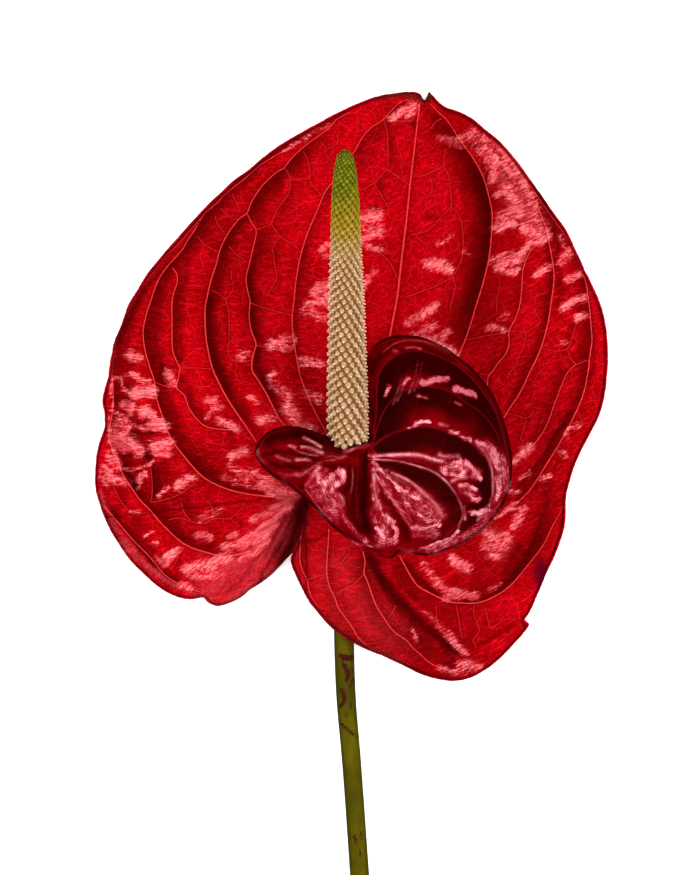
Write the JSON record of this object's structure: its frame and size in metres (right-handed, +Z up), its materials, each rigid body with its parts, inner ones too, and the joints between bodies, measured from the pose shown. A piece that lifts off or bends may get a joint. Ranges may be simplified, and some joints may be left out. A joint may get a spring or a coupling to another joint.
{
  "type": "cut anthurium flower",
  "caption": "Cut anthurium lying on its back: a bare stem carrying a large heart-shaped spathe, a smaller cupped spathe in front of it and an upright spadix.",
  "frame": {"origin": "middle of the flower's footprint, on the surface that it lies on", "axes": "+Z up out of the face of the spathes, +Y towards the tip of the large spathe, -Y towards the cut end of the stem"},
  "size_m": [0.128, 0.3488, 0.0542],
  "materials": {
    "stem": "satin olive-green skin with maroon-brown blotches",
    "large_spathe": "waxy gloss, bright red with lighter sunken veins",
    "small_spathe": "high gloss, very dark maroon with red ribs",
    "spadix": "satin cream florets, turning olive and green at the tip"
  },
  "bodies": {
    "root": {"stem": "stem", "large_spathe": "large_spathe", "small_spathe": "small_spathe", "spadix": "spadix"}
  },
  "joints": []
}
